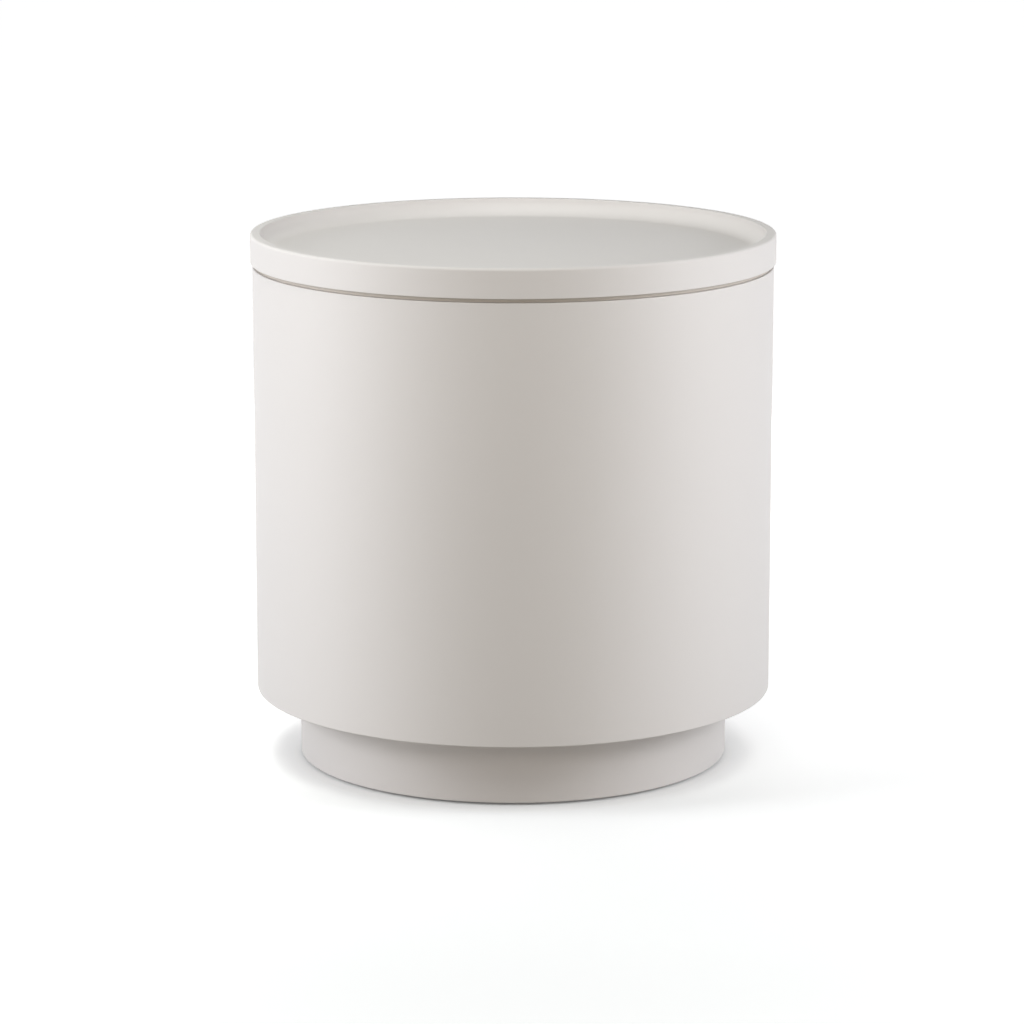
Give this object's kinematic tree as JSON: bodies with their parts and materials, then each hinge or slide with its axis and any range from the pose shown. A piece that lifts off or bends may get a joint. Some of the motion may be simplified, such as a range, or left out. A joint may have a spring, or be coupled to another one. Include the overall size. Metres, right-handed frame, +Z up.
{
  "type": "nightstand",
  "caption": "Round drum nightstand with a lift-off tray lid over open storage, a shadow groove under the lid and a set-back round plinth.",
  "frame": {"origin": "centre of the round footprint, on the floor plane under the glides", "axes": "+Z up along the drum's axis, -Y towards the viewer of the picture"},
  "size_m": [0.45, 0.45, 0.457],
  "materials": {
    "lacquer": "satin",
    "bare_board": "matte",
    "block_pine": "matte",
    "lid_felt": "matte",
    "glide_nylon": "satin",
    "zinc_steel": "satin"
  },
  "bodies": {
    "cabinet": {"drum_shell": "lacquer", "drum_floor": "lacquer", "ledge_ring": "lacquer", "plinth_ring": "lacquer", "plinth_panel": "bare_board", "plinth_screws": "zinc_steel", "lid_pad_1": "lid_felt", "lid_pad_2": "lid_felt", "lid_pad_3": "lid_felt", "lid_pad_4": "lid_felt", "lid_pad_5": "lid_felt", "lid_pad_6": "lid_felt", "plinth_block_1": "block_pine", "plinth_block_2": "block_pine", "plinth_block_3": "block_pine", "plinth_block_4": "block_pine", "glide_1": "glide_nylon", "glide_2": "glide_nylon", "glide_3": "glide_nylon", "glide_4": "glide_nylon"},
    "lid": {"lid_tray": "lacquer"}
  },
  "joints": [
    {"name": "lid_lift", "type": "slide", "parent": "cabinet", "child": "lid", "axis": [0, 0, 1], "range_m": [0, 0.3]}
  ]
}
